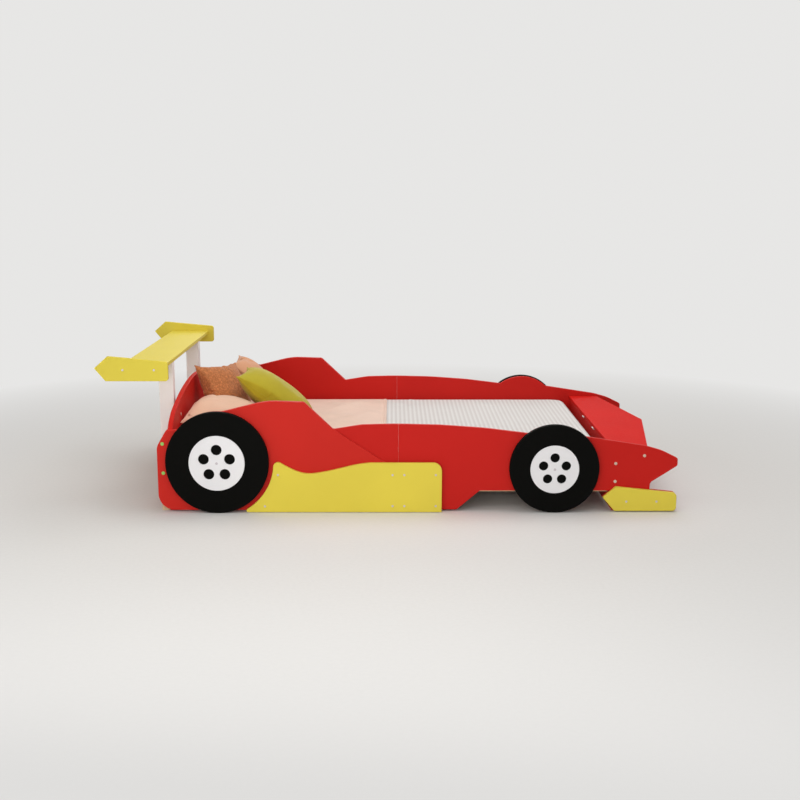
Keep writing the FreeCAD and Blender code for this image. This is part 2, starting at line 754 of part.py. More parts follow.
def make_sheets():
    """Striped sheet over the whole mattress, and the coverlet laid over its head half."""
    sheet_outside = soft_clearance + sheet_thickness
    low = mattress_top - sheet_drop
    outer = soft_block(sheet_outside, low)
    inner = soft_block(soft_clearance, low - 1)
    save("striped_sheet", outer.cut(inner))

    inside = sheet_outside + soft_clearance
    x0, x1 = x_head + coverlet_rear, x_head + coverlet_front
    block = soft_block(inside + coverlet_thickness, mattress_top - coverlet_drop)
    block = block.common(box(x0, x1, -y_in, y_in, 0, 2 * mattress_top))
    save("coverlet", block.cut(soft_block(inside, low - 1)))


def cushion(length, width, thickness, draw_in):
    """Stuffed cushion lying flat about the origin: crowned, with its four sides drawn in."""
    half_l, half_w = length / 2, width / 2
    edge = 4.0
    stations = [-1.0, -0.8, -0.45, 0.0, 0.45, 0.8, 1.0]
    wires = []
    for s in stations:
        crown = edge + (thickness / 2 - edge) * (1 - abs(s) ** 2.4) ** 0.6
        x = s * half_l
        a, b = V(x, -half_w, 0), V(x, half_w, 0)
        wires.append(Part.Wire([Part.Arc(a, V(x, 0, crown), b).toShape(),
                                Part.Arc(b, V(x, 0, -crown), a).toShape()]))
    body = Part.makeLoft(wires, True, False)
    corners = [V(-half_l, -half_w, 0), V(half_l, -half_w, 0), V(half_l, half_w, 0),
               V(-half_l, half_w, 0)]
    waists = [V(0, -half_w + draw_in, 0), V(half_l - draw_in, 0, 0), V(0, half_w - draw_in, 0),
              V(-half_l + draw_in, 0, 0)]
    outline = [Part.Arc(corners[i], waists[i], corners[(i + 1) % 4]).toShape() for i in range(4)]
    face = Part.Face(Part.Wire(outline))
    face.translate(V(0, 0, -thickness))
    return body.common(face.extrude(V(0, 0, 2 * thickness)))


def placed(solid, where, yaw, pitch, roll=0.0):
    """Roll about X, lean about Y, turn about Z, then move."""
    solid = solid.copy()
    solid.rotate(V(0, 0, 0), V(1, 0, 0), roll)
    solid.rotate(V(0, 0, 0), V(0, 1, 0), pitch)
    solid.rotate(V(0, 0, 0), V(0, 0, 1), yaw)
    solid.translate(where)
    return solid


# length, width and thickness; how far the sides are drawn in at the middle; centre from the
# headboard's inner face, the bed's middle and the coverlet; turn about Z, lean about Y, roll about X
cushions = {
    "pillow_peach": ((340, 390, 178), 18, (181, -314, 91.6), (-3, 6, 4)),
    "cushion_orange": ((312, 300, 150), 26, (144.3, 30, 146), (-42, 60, -8)),
    "cushion_salmon": ((340, 340, 150), 20, (262, 370, 136.0), (0, 49, 0)),
    "cushion_green": ((425, 315, 164), 20, (412, -73, 140.6), (-3, 35.6, 0)),
}


def make_cushions():
    """Peach pillow and orange cushion against the headboard, salmon one beside them, green one in front."""
    bed_top = mattress_top + 2 * soft_clearance + sheet_thickness + coverlet_thickness
    for name, (size, waist, where, turns) in cushions.items():
        x, y, z = where
        save(name, placed(cushion(*size, waist), V(x_head + x, y, bed_top + z), *turns))


os.makedirs("parts", exist_ok=True)
make_sides()
wheel_holes = side_holes()
make_wheel("rear", x_rear_wheel, rear_wheel_radius, rear_hub_radius, -y_fender, wheel_holes)
make_wheel("front", x_front_wheel, front_wheel_radius, front_hub_radius, -y_out, wheel_holes)
bolts_of_head = make_headboard()
make_spoiler()
make_foot_end()
make_hood()
make_hinges()
make_base()
make_fasteners(bolts_of_head)
make_mattress()
make_sheets()
make_cushions()
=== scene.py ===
import json
import math

import bpy
import numpy as np
from mathutils import Matrix, Vector, noise
from mathutils.bvhtree import BVHTree


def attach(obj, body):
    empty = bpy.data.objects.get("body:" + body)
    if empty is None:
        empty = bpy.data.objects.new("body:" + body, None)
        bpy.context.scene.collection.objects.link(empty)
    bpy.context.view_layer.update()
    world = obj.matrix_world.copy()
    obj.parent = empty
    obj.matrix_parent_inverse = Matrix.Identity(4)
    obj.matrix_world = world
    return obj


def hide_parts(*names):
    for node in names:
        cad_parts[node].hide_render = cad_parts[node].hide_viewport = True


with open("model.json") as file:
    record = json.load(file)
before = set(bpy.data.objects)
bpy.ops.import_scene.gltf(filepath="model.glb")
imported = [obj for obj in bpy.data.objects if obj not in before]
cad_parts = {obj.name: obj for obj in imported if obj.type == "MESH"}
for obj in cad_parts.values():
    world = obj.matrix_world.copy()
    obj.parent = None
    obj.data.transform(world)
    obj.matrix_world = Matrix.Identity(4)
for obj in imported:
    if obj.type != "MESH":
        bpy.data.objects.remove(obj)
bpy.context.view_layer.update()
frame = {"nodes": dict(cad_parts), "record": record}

# ---------------------------------------------------------------- shapes shared with the bed
X_HEAD = -0.969              # headboard's inner face
BED_TOP = 0.2754             # top of the coverlet
MATTRESS_REAR, MATTRESS_FRONT, HALF_WIDTH = -0.959, 0.976, 0.686
HALF_LENGTH = 0.9675         # of the mattress
MIDDLE = 0.0085              # halfway between its two ends
MATTRESS_LOW = 0.1286        # its underside
CORNER = 0.080               # rounding of its upright corners
RIM = 0.022                  # rounding of its upper and lower rims
FLAT_HALF = 0.664            # half width of its flat top, inside the rims
CORNER_AXIS = (0.8875, 0.606)   # a corner's centre, from the mattress's middle
RIM_STEPS = 6

# ---------------------------------------------------------------- helpers


def clean(a, b, x):
    """Smooth step from a to b."""
    t = np.clip((x - a) / (b - a), 0.0, 1.0)
    return t * t * (3 - 2 * t)


def mesh_object(name, points, faces, smooth=True):
    mesh = bpy.data.meshes.new(name)
    mesh.from_pydata([tuple(p) for p in points], [], [tuple(f) for f in faces])
    mesh.update()
    obj = bpy.data.objects.new(name, mesh)
    bpy.context.scene.collection.objects.link(obj)
    if smooth:
        mesh.polygons.foreach_set("use_smooth", [True] * len(mesh.polygons))
    return obj


def grid_faces(rows, columns, start=0, wrap=False):
    """Quads of a grid with points numbered row by row; wrap joins the last column to the first."""
    faces = []
    for i in range(rows - 1):
        for j in range(columns if wrap else columns - 1):
            k = (j + 1) % columns
            faces.append((start + i * columns + j, start + i * columns + k,
                          start + (i + 1) * columns + k, start + (i + 1) * columns + j))
    return faces


def field(points, scale, seed, octaves=3):
    """Smooth noise from about -1 to 1 at each point."""
    shift = Vector((seed * 7.31, seed * 3.17, seed * 1.93))
    return np.array([noise.fractal(Vector(p) * scale + shift, 1.0, 2.0, octaves)
                     for p in points])


# ---------------------------------------------------------------- materials


class Look:
    """Small builder of one node material, in object coordinates."""

    def __init__(self, name, colour, rough, **sockets):
        self.mat = bpy.data.materials.new(name)
        self.mat.use_nodes = True
        self.tree = self.mat.node_tree
        self.shader = self.tree.nodes["Principled BSDF"]
        self.shader.inputs["Base Color"].default_value = (*colour, 1)
        self.shader.inputs["Roughness"].default_value = rough
        for key, value in sockets.items():
            self.shader.inputs[key.replace("_", " ")].default_value = value
        self.place = self.node("ShaderNodeTexCoord").outputs["Object"]

    def node(self, kind, **settings):
        made = self.tree.nodes.new(kind)
        for key, value in settings.items():
            setattr(made, key, value)
        return made

    def link(self, a, b):
        self.tree.links.new(a, b)

    def scaled(self, vector):
        made = self.node("ShaderNodeMapping")
        self.link(self.place, made.inputs["Vector"])
        made.inputs["Scale"].default_value = vector
        return made.outputs["Vector"]

    def noise(self, scale, detail=3.0, rough=0.5, stretch=None, distortion=0.0):
        made = self.node("ShaderNodeTexNoise")
        self.link(self.scaled(stretch) if stretch else self.place, made.inputs["Vector"])
        made.inputs["Scale"].default_value = scale
        made.inputs["Detail"].default_value = detail
        made.inputs["Roughness"].default_value = rough
        made.inputs["Distortion"].default_value = distortion
        return made.outputs["Fac"]

    def ramp(self, value, stops):
        """stops are (position, colour or grey)."""
        made = self.node("ShaderNodeValToRGB")
        self.link(value, made.inputs["Fac"])
        bar = made.color_ramp
        while len(bar.elements) < len(stops):
            bar.elements.new(0.5)
        for element, (position, colour) in zip(bar.elements, stops):
            element.position = position
            grey = isinstance(colour, (int, float))
            element.color = (colour, colour, colour, 1) if grey else (*colour, 1)
        return made.outputs["Color"]

    def math(self, kind, a, b=0.5):
        made = self.node("ShaderNodeMath", operation=kind)
        for socket, value in zip(made.inputs, (a, b)):
            if isinstance(value, (int, float)):
                socket.default_value = value
            else:
                self.link(value, socket)
        return made.outputs[0]

    def mix(self, factor, a, b, kind="MIX"):
        made = self.node("ShaderNodeMix", data_type="RGBA", blend_type=kind)
        for socket, value in ((made.inputs["Factor"], factor), (made.inputs["A"], a),
                              (made.inputs["B"], b)):
            if isinstance(value, (int, float)):
                socket.default_value = value
            elif isinstance(value, tuple):
                socket.default_value = (*value, 1)
            else:
                self.link(value, socket)
        return made.outputs["Result"]

    def bump(self, height, distance, strength=1.0, under=None):
        made = self.node("ShaderNodeBump")
        self.link(height, made.inputs["Height"])
        made.inputs["Distance"].default_value = distance
        made.inputs["Strength"].default_value = strength
        if under is not None:
            self.link(under, made.inputs["Normal"])
        return made.outputs["Normal"]

    def set(self, name, value):
        self.link(value, self.shader.inputs[name])


def shade(colour, factor):
    return tuple(min(1.0, c * factor) for c in colour)


BARE_BOARD = (0.86, 0.78, 0.66)         # where the paint is rubbed through


def paint(name, colour, rough=0.46, edge=0.10, orange_peel=0.00022, gloss=0.10):
    """Sprayed satin paint on board: faint cloudiness, orange peel, lightly rubbed edges."""
    m = Look(name, colour, rough, Specular_IOR_Level=gloss)
    cloud = m.noise(2.3, 4.0)
    tone = m.ramp(cloud, [(0.3, shade(colour, 0.955)), (0.7, shade(colour, 1.035))])
    bevel = m.node("ShaderNodeBevel", samples=4)
    bevel.inputs["Radius"].default_value = 0.0035
    plain = m.node("ShaderNodeNewGeometry").outputs["Normal"]
    dot = m.node("ShaderNodeVectorMath", operation="DOT_PRODUCT")
    m.link(bevel.outputs["Normal"], dot.inputs[0])
    m.link(plain, dot.inputs[1])
    rubbed = m.ramp(dot.outputs["Value"], [(0.80, 1.0), (0.985, 0.0)])
    patches = m.ramp(m.noise(38.0, 4.0), [(0.42, 0.0), (0.66, 1.0)])
    wear = m.math("MULTIPLY", m.math("MULTIPLY", rubbed, patches), edge)
    m.set("Base Color", m.mix(wear, tone, BARE_BOARD))
    fine = m.noise(95.0, 2.0)
    m.set("Roughness", m.ramp(fine, [(0.25, rough - 0.05), (0.75, rough + 0.06)]))
    peel = m.noise(430.0, 2.0)
    m.set("Normal", m.bump(peel, orange_peel, 0.55))
    return m.mat


def timber(name, colour, along):
    """Planed softwood, with its rings and fibres along one axis."""
    m = Look(name, colour, 0.55)
    stretch = [9.0, 9.0, 9.0]
    stretch["XYZ".index(along)] = 0.7
    rings = m.noise(3.2, 3.0, stretch=tuple(stretch), distortion=1.4)
    waves = m.math("FRACT", m.math("MULTIPLY", rings, 7.0), 0)
    tone = m.ramp(waves, [(0.0, shade(colour, 0.78)), (0.25, colour), (0.8, shade(colour, 1.12)),
                          (1.0, shade(colour, 0.86))])
    fibres = [260.0, 260.0, 260.0]
    fibres["XYZ".index(along)] = 6.0
    fine = m.noise(1.0, 2.0, stretch=tuple(fibres))
    m.set("Base Color", m.mix(0.25, tone, m.ramp(fine, [(0.3, shade(colour, 0.7)),
                                                        (0.7, shade(colour, 1.15))])))
    m.set("Roughness", m.ramp(fine, [(0.2, 0.48), (0.8, 0.66)]))
    m.set("Normal", m.bump(fine, 0.0004, 0.5))
    return m.mat


def metal(name, colour, rough, metallic, brushed=True):
    m = Look(name, colour, rough, Metallic=metallic)
    scratch = m.noise(1.0, 3.0, stretch=(900.0, 60.0, 900.0) if brushed else (700.0,) * 3)
    m.set("Base Color", m.ramp(scratch, [(0.3, shade(colour, 0.9)), (0.7, shade(colour, 1.06))]))
    m.set("Roughness", m.ramp(scratch, [(0.2, rough - 0.07), (0.8, rough + 0.10)]))
    m.set("Normal", m.bump(scratch, 0.00006, 0.5))
    return m.mat


def cloth(name, colour, pitch=0.0016, rough=0.85, sheen=0.25, depth=0.00018, drift=0.05,
          slub=0.25, folds=0.0, mottle=0.0):
    """Woven cloth without UVs: threads in three planes blended by the surface's direction."""
    m = Look(name, colour, rough, Sheen_Weight=sheen, Sheen_Roughness=0.45,
             Specular_IOR_Level=0.08)
    split = m.node("ShaderNodeSeparateXYZ")
    m.link(m.place, split.inputs[0])
    way = m.node("ShaderNodeSeparateXYZ")
    m.link(m.node("ShaderNodeNewGeometry").outputs["Normal"], way.inputs[0])
    waves = {}
    for axis in "XYZ":
        turn = m.math("MULTIPLY", split.outputs[axis], 2 * math.pi / pitch)
        waves[axis] = m.math("SINE", turn, 0)
    height = None
    for a, b, c in (("X", "Y", "Z"), ("Y", "Z", "X"), ("Z", "X", "Y")):
        over = m.math("MULTIPLY", waves[a], waves[b])
        share = m.math("POWER", m.math("ABSOLUTE", way.outputs[c], 0), 2.0)
        part = m.math("MULTIPLY", over, share)
        height = part if height is None else m.math("ADD", height, part)
    height = m.math("ADD", m.math("MULTIPLY", height, 0.4), 0.5)
    drifted = m.ramp(m.noise(7.0, 4.0), [(0.3, shade(colour, 1 - drift)),
                                         (0.7, shade(colour, 1 + drift))])
    threads = m.ramp(height, [(0.2, shade(colour, 1 - slub)), (0.8, shade(colour, 1.06))])
    base = m.mix(0.35, drifted, threads)
    slubs = m.noise(1.0, 2.0, stretch=(40.0, 420.0, 420.0))
    base = m.mix(m.math("MULTIPLY", slubs, slub * 0.5), base, shade(colour, 0.8))
    normal = m.bump(height, depth, 0.7)
    if mottle:
        tufts = m.noise(105.0, 3.0, rough=0.65, distortion=0.8)
        base = m.mix(m.ramp(tufts, [(0.40, mottle), (0.58, 0.0)]), base, shade(colour, 0.38))
        base = m.mix(m.ramp(tufts, [(0.52, 0.0), (0.70, mottle * 0.6)]), base, shade(colour, 1.7))
        normal = m.bump(tufts, 0.003, 0.7, normal)
    if folds:
        soft = m.noise(16.0, 3.0, distortion=0.6)
        normal = m.bump(soft, folds, 0.5, normal)
    m.set("Roughness", m.ramp(slubs, [(0.3, rough - 0.06), (0.7, min(1.0, rough + 0.06))]))
    m.set("Normal", normal)
    m.base = base
    return m


def plain_cloth(*args, **settings):
    m = cloth(*args, **settings)
    m.set("Base Color", m.base)
    return m.mat


RED = (0.550, 0.014, 0.010)
looks = {
    "red_board": paint("red_board", RED),
    "red_fender": paint("red_fender", (0.575, 0.021, 0.014)),
    # The hood's red is lighter than the boards' red of the same paint: painted top light, standing
    # in for the extra light on the hood's upward faces.
    "red_hood": paint("red_hood", (0.620, 0.014, 0.010), rough=0.56, gloss=0.025),
    "yellow_board": paint("yellow_board", (0.74, 0.61, 0.072), edge=0.05),
    "tyre_black": paint("tyre_black", (0.0035, 0.0035, 0.003), rough=0.75, edge=0.02, gloss=0.04),
    "hub_white": paint("hub_white", (0.80, 0.795, 0.81), rough=0.45, edge=0.03, gloss=0.2),
    "white_post": paint("white_post", (0.90, 0.885, 0.88), rough=0.45, edge=0.05, gloss=0.2),
    "steel": metal("steel", (0.62, 0.61, 0.60), 0.32, 1.0),
    "screw_grey": metal("screw_grey", (0.58, 0.53, 0.56), 0.42, 0.25, brushed=False),
    "bolt_beige": metal("bolt_beige", (0.64, 0.50, 0.40), 0.42, 0.35, brushed=False),
    "green_cap": paint("green_cap", (0.30, 0.62, 0.13), rough=0.3, edge=0.0, gloss=0.4),
    "pine_x": timber("pine_x", (0.70, 0.50, 0.30), "X"),
    "pine_y": timber("pine_y", (0.72, 0.53, 0.33), "Y"),
    "pine_z": timber("pine_z", (0.68, 0.49, 0.30), "Z"),
    "mattress_cover": plain_cloth("mattress_cover", (0.74, 0.72, 0.70), pitch=0.0024, folds=0.001),
    "peach_cotton": plain_cloth("peach_cotton", (0.80, 0.59, 0.49), pitch=0.0009, depth=0.00008,
                                slub=0.10, sheen=0.15, drift=0.06, folds=0.0016),
    "peach_pillow": plain_cloth("peach_pillow", (0.80, 0.52, 0.38), pitch=0.0012, depth=0.00012,
                                slub=0.14, sheen=0.15, drift=0.07, folds=0.0022),
    "orange_weave": plain_cloth("orange_weave", (0.62, 0.225, 0.085), pitch=0.0042, depth=0.0009,
                                slub=0.40, sheen=0.30, drift=0.14, mottle=0.45),
    "salmon_cotton": plain_cloth("salmon_cotton", (0.70, 0.35, 0.20), pitch=0.0014, depth=0.00015,
                                 slub=0.18, sheen=0.3, drift=0.06, folds=0.0010),
    "green_satin": plain_cloth("green_satin", (0.43, 0.355, 0.022), pitch=0.0007, depth=0.00004,
                               slub=0.06, sheen=0.12, rough=0.55, drift=0.14, folds=0.0022),
}
STRIPE_PITCH = 0.022
stripes = cloth("striped_cotton", (0.74, 0.725, 0.71), pitch=0.0011, depth=0.0001, slub=0.08,
                sheen=0.1, drift=0.015)
split = stripes.node("ShaderNodeSeparateXYZ")
stripes.link(stripes.place, split.inputs[0])
turn = stripes.math("MULTIPLY", split.outputs["X"], 2 * math.pi / STRIPE_PITCH)
bands = stripes.math("SINE", turn, 0)
bands = stripes.math("ADD", stripes.math("MULTIPLY", bands, 0.5), 0.5)
shade_of = stripes.ramp(bands, [(0.15, (0.855, 0.83, 0.825)), (0.85, 1.0)])
stripes.set("Base Color", stripes.mix(1.0, stripes.base, shade_of, "MULTIPLY"))
looks["striped_cotton"] = stripes.mat

pine_way = {
    "corner_cleat_right": "z", "corner_cleat_left": "z", "centre_leg_rear": "z",
    "centre_leg_front": "z", "hood_box_floor": "y", "slats_1": "y", "slats_2": "y",
    "slats_3": "y", "ledger_right": "x", "ledger_left": "x", "centre_beam": "x",
    "beam_blocks": "x",
}

for entry in frame["record"]["subparts"]:
    node, slot = entry["node"], entry["material_slot"]
    key = f"pine_{pine_way[node]}" if slot == "pine" else slot
    if key in looks:
        obj = frame["nodes"][node]
        obj.data.materials.clear()
        obj.data.materials.append(looks[key])

# ---------------------------------------------------------------- soft pieces


def ridge(x, y, start, end, height, width):
    """A soft fold: a bump along the line from start to end, dying away at both ends."""
    p, q = np.array(start), np.array(end)
    along = q - p
    length = np.linalg.norm(along)
    along = along / length
    t = (x - p[0]) * along[0] + (y - p[1]) * along[1]
    across = (x - p[0]) * -along[1] + (y - p[1]) * along[0]
    body = np.exp(-(across / width) ** 2)
    ends = clean(0.0, 0.3 * length, t) * (1 - clean(0.7 * length, length, t))
    return height * body * ends


def ahead_of(points):
    """Unit directions along a closed line of points."""
    ahead = np.roll(points, -1, 0) - np.roll(points, 1, 0)
    return ahead / np.linalg.norm(ahead, axis=1)[:, None]


def cord_mesh(points, radius, sides=8):
    """Round bead along a closed line, as points and faces."""
    way = ahead_of(points)
    up = np.array((0.0, 0.0, 1.0))
    made = []
    side = np.cross(way[0], up)
    side /= np.linalg.norm(side)
    for k, p in enumerate(points):
        side = side - way[k] * side.dot(way[k])
        side /= np.linalg.norm(side)
        third = np.cross(way[k], side)
        for j in range(sides):
            a = 2 * math.pi * j / sides
            made.append(p + radius * (math.cos(a) * side + math.sin(a) * third))
    faces = grid_faces(len(points), sides, 0, wrap=True)
    last = (len(points) - 1) * sides
    for j in range(sides):
        k = (j + 1) % sides
        faces.append((last + j, last + k, k, j))
    return np.array(made), faces


def rounded_loop(half_x, half_y, radius, centre_x, arc, along_x, along_y):
    """Rounded rectangle, counter-clockwise from its +x +y corner's middle, with outward directions.
    Each corner has 2 * arc steps, so the sides have along + 2 * arc steps from corner to corner."""
    points, outward = [], []
    signs = [(1, 1), (-1, 1), (-1, -1), (1, -1)]
    for i in range(4):
        (sx, sy), (nx, ny) = signs[i], signs[(i + 1) % 4]
        here = np.array((centre_x + sx * (half_x - radius), sy * (half_y - radius)))
        there = np.array((centre_x + nx * (half_x - radius), ny * (half_y - radius)))
        middle = math.pi / 4 + i * math.pi / 2
        steps = along_x if i % 2 == 0 else along_y
        turns = [(here, middle + math.pi / 4 * k / arc) for k in range(arc)]
        straight = middle + math.pi / 4
        turns += [(here + (there - here) * k / steps, straight) for k in range(steps + 1)]
        turns += [(there, straight + math.pi / 4 * k / arc) for k in range(1, arc)]
        for centre, angle in turns:
            way = np.array((math.cos(angle), math.sin(angle)))
            points.append(centre + radius * way)
            outward.append(way)
    return np.array(points), np.array(outward)


def patch(loop, nx, ny):
    """Grid of (nx + 1) x (ny + 1) points filling a loop that starts at its +x +y corner.
    Returns the points and, for each loop point, its number in the grid."""
    top = loop[:nx + 1][::-1]
    left = loop[nx:nx + ny + 1][::-1]
    bottom = loop[nx + ny:2 * nx + ny + 1]
    right = np.vstack((loop[2 * nx + ny:], loop[:1]))
    u = np.linspace(0, 1, nx + 1)[None, :, None]
    v = np.linspace(0, 1, ny + 1)[:, None, None]
    grid = ((1 - v) * bottom[None] + v * top[None] + (1 - u) * left[:, None] + u * right[:, None]
            - (1 - u) * (1 - v) * bottom[0] - u * (1 - v) * bottom[-1]
            - (1 - u) * v * top[0] - u * v * top[-1])
    row = nx + 1
    numbers = [ny * row + nx - k for k in range(nx)]
    numbers += [(ny - k) * row for k in range(ny)]
    numbers += [k for k in range(nx)]
    numbers += [k * row + nx for k in range(ny)]
    return grid.reshape(-1, 2), numbers


class SoftBlock:
    """Points of a soft block's skin: its top as a grid, then rings over the rim and down."""
    arc, along_x, along_y = 5, 180, 126
    step = 0.012                            # spacing of the rings down the side

    def __init__(self, x0, x1, half_y, top, corner, rim, low):
        nx, ny = self.along_x + 2 * self.arc, self.along_y + 2 * self.arc
        loop, outward = rounded_loop((x1 - x0) / 2 - rim, half_y - rim, corner - rim,
                                     (x0 + x1) / 2, self.arc, self.along_x, self.along_y)
        flat, ring = patch(loop, nx, ny)
        self.points = [np.c_[flat, np.full(len(flat), top)]]
        self.out = [np.tile((0.0, 0.0, 1.0), (len(flat), 1))]
        self.faces = grid_faces(ny + 1, nx + 1)
        self.down = [np.zeros(len(flat))]
        self.count = len(flat)
        self.ring = ring
        self.loop, self.outward = loop, outward
        for k in range(1, RIM_STEPS + 1):
            a = math.pi / 2 * k / RIM_STEPS
            self.add(rim * math.sin(a), top - rim * (1 - math.cos(a)), a, rim * a)
        steps = max(1, round((top - rim - low) / self.step))
        for k in range(1, steps + 1):
            d = (top - rim - low) * k / steps
            self.add(rim, top - rim - d, math.pi / 2, rim * math.pi / 2 + d)

    def add(self, reach, z, angle, depth):
        n = len(self.loop)
        self.points.append(np.c_[self.loop + self.outward * reach, np.full(n, z)])
        self.out.append(np.c_[self.outward * math.sin(angle), np.full(n, math.cos(angle))])
        self.down.append(np.full(n, depth))
        new = list(range(self.count, self.count + n))
        for k in range(n):
            j = (k + 1) % n
            self.faces.append((self.ring[k], new[k], new[j], self.ring[j]))
        self.ring, self.count = new, self.count + n

    def close(self, flip_z):
        """Bottom: the top's grid at another height."""
        nx, ny = self.along_x + 2 * self.arc, self.along_y + 2 * self.arc
        last = np.array([np.vstack(self.points)[k, :2] for k in self.ring])
        flat, numbers = patch(last, nx, ny)
        start = self.count
        self.points.append(np.c_[flat, np.full(len(flat), flip_z)])
        self.out.append(np.tile((0.0, 0.0, -1.0), (len(flat), 1)))
        self.down.append(np.full(len(flat), 1.0))
        self.faces += [tuple(reversed(f)) for f in grid_faces(ny + 1, nx + 1, start)]
        self.count += len(flat)
        n = len(self.ring)
        for k in range(n):
            j = (k + 1) % n
            self.faces.append((self.ring[k], start + numbers[k], start + numbers[j], self.ring[j]))

    def arrays(self):
        return np.vstack(self.points), np.vstack(self.out), np.hstack(self.down)


# ---------------------------------------------------------------- mattress and sheets


def block(spread, top, low):
    """The mattress's block grown all round by spread."""
    return SoftBlock(MATTRESS_REAR - spread, MATTRESS_FRONT + spread, HALF_WIDTH + spread, top,
                     CORNER + spread, RIM + spread, low)


def place(obj, slot, *nodes):
    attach(obj, "bed")
    if nodes:
        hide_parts(*nodes)
    return obj


# mattress: crowned panels above and below, sides held in by a stitched waist
INSET = 0.0006               # visible mattress inside its solid
SKIN = 0.0004
SIDE_FROM, SIDE_TO = 0.0349, 0.5        # the skin's side, measured down from its flat top
QUILT_PITCH, QUILT_DEPTH = 0.14, 0.0022
WAIST_HEIGHT, WAIST_DEPTH = 0.199, 0.0035
LOWER_RIM = 0.0214

body = block(-INSET, 0.2698, MATTRESS_LOW + RIM)
points, out, down = body.arrays()
x, y, z = points.T
edge_in = np.minimum(HALF_WIDTH - np.abs(y), np.minimum(x - MATTRESS_REAR, MATTRESS_FRONT - x))
quilt = np.abs(np.sin(math.pi * (x + y) / QUILT_PITCH) * np.sin(math.pi * (x - y) / QUILT_PITCH))
height = (QUILT_DEPTH * quilt ** 0.5 - 0.0026) * clean(0.01, 0.05, edge_in) - SKIN
side = (down > SIDE_FROM) & (down < SIDE_TO)
waist = -WAIST_DEPTH * np.exp(-((z - WAIST_HEIGHT) / 0.012) ** 2)
move = np.where(down == 0, height, np.where(side, waist, -SKIN))
points += out * move[:, None]
for k in range(1, RIM_STEPS + 1):
    a = math.pi / 2 * k / RIM_STEPS
    body.add(LOWER_RIM * math.cos(a), MATTRESS_LOW + RIM - RIM * math.sin(a), math.pi / 2, 0.2)
body.close(MATTRESS_LOW)
final, _, _ = body.arrays()
final[:len(points)] = points
mattress = mesh_object("mattress_body", final, body.faces)
mattress.data.materials.append(looks["mattress_cover"])
place(mattress, "mattress_cover", "mattress")

for name, z in (("mattress_piping_upper", 0.2495), ("mattress_piping_lower", 0.1500)):
    loop, outward = rounded_loop(HALF_LENGTH - INSET, HALF_WIDTH - INSET, 0.0794, MIDDLE,
                                 8, 150, 100)
    line = np.c_[loop - outward * 0.0012, np.full(len(loop), z)]
    bead = mesh_object(name, *cord_mesh(line, 0.0017, 6))
    bead.data.materials.append(looks["mattress_cover"])
    place(bead, "mattress_cover")

# striped fitted sheet: taut on top with a few low waves, slack at its corners
SHEET_FOLDS = [                    # start, end, height, half width
    ((0.02, 0.62), (0.16, 0.30), 0.0076, 0.020),
    ((0.10, 0.67), (0.19, 0.52), 0.0068, 0.016),
    ((0.45, 0.66), (0.62, 0.35), 0.0043, 0.024),
    ((0.30, -0.60), (0.52, -0.20), 0.0048, 0.030),
    ((0.72, -0.62), (0.60, -0.25), 0.0041, 0.022),
    ((0.90, -0.40), (0.55, 0.10), 0.0031, 0.030),
]
sheet_skin = block(0.0012, 0.2716, 0.1716)
points, out, down = sheet_skin.arrays()
x, y, z = points.T
flat_noise = field(np.c_[x * 0.7, y * 1.6, z * 0], 3.1, 11)
height = 0.0006 + 0.0011 * (flat_noise + 0.6)
for fold in SHEET_FOLDS:
    height += ridge(x, y, *fold)
height += 0.0016 * np.exp(-((MATTRESS_FRONT - 0.018 - x) / 0.005) ** 2) * (np.abs(y) < 0.64)
under = 1 - clean(-0.045, -0.010, x)
height = height * (1 - under) + 0.0003 * under
height = np.where(down > 0, 0.0, height * clean(0.0, 0.03, FLAT_HALF - np.abs(y)))
from_middle = np.abs(x - MIDDLE)
angle = np.arctan2(np.abs(y) - CORNER_AXIS[1], from_middle - CORNER_AXIS[0])
at_corner = (np.abs(y) > 0.60) & (from_middle > 0.87)
pleats = 0.0016 * np.sin(angle * 34) * clean(0.035, 0.09, down) * at_corner
hem = 0.0009 * np.exp(-((down - 0.108) / 0.004) ** 2)
points += out * (height + np.where(down > SIDE_FROM, pleats + hem, 0.0))[:, None]
sheet_obj = mesh_object("striped_sheet_cloth", points, sheet_skin.faces)
thick = sheet_obj.modifiers.new("thickness", "SOLIDIFY")
thick.thickness = 0.0011
thick.offset = -1
sheet_obj.data.materials.append(looks["striped_cotton"])
place(sheet_obj, "striped_cotton", "striped_sheet")

# coverlet: one rectangle across the bed, hanging a little down both sides, its hem rolled
COVER_FOLDS = [                    # start, end, height, half width
    ((-0.30, -0.55), (-0.12, -0.12), 0.0112, 0.030),
    ((-0.36, -0.30), (-0.20, -0.66), 0.0090, 0.022),
    ((-0.22, 0.00), (-0.05, 0.35), 0.0090, 0.034),
    ((-0.34, 0.25), (-0.10, 0.62), 0.0105, 0.036),
    ((-0.13, -0.62), (-0.05, -0.28), 0.0075, 0.022),
    ((-0.40, 0.60), (-0.16, 0.40), 0.0075, 0.026),
    ((-0.45, 0.10), (-0.18, 0.20), 0.0067, 0.030),
]
COVER_REAR, COVER_FRONT = -0.899, -0.010
COVER_FINE_FROM = -0.06      # rows are closer together from here to the hem
COVER_SPREAD = 0.0032        # outside the mattress
half, rim = HALF_WIDTH + COVER_SPREAD, RIM + COVER_SPREAD
top, drop = 0.2735, 0.060
profile = []
steps_rim, steps_drop = RIM_STEPS, 5
for k in range(steps_drop, 0, -1):
    profile.append((-half, top - rim - (drop - rim) * k / steps_drop, -1.0, 0.0))
for k in range(steps_rim, 0, -1):
    a = math.pi / 2 * k / steps_rim
    profile.append((-(half - rim) - rim * math.sin(a), top - rim * (1 - math.cos(a)),
                    -math.sin(a), math.cos(a)))
flat_count = 250
for k in range(flat_count + 1):
    profile.append((-(half - rim) + 2 * (half - rim) * k / flat_count, top, 0.0, 1.0))
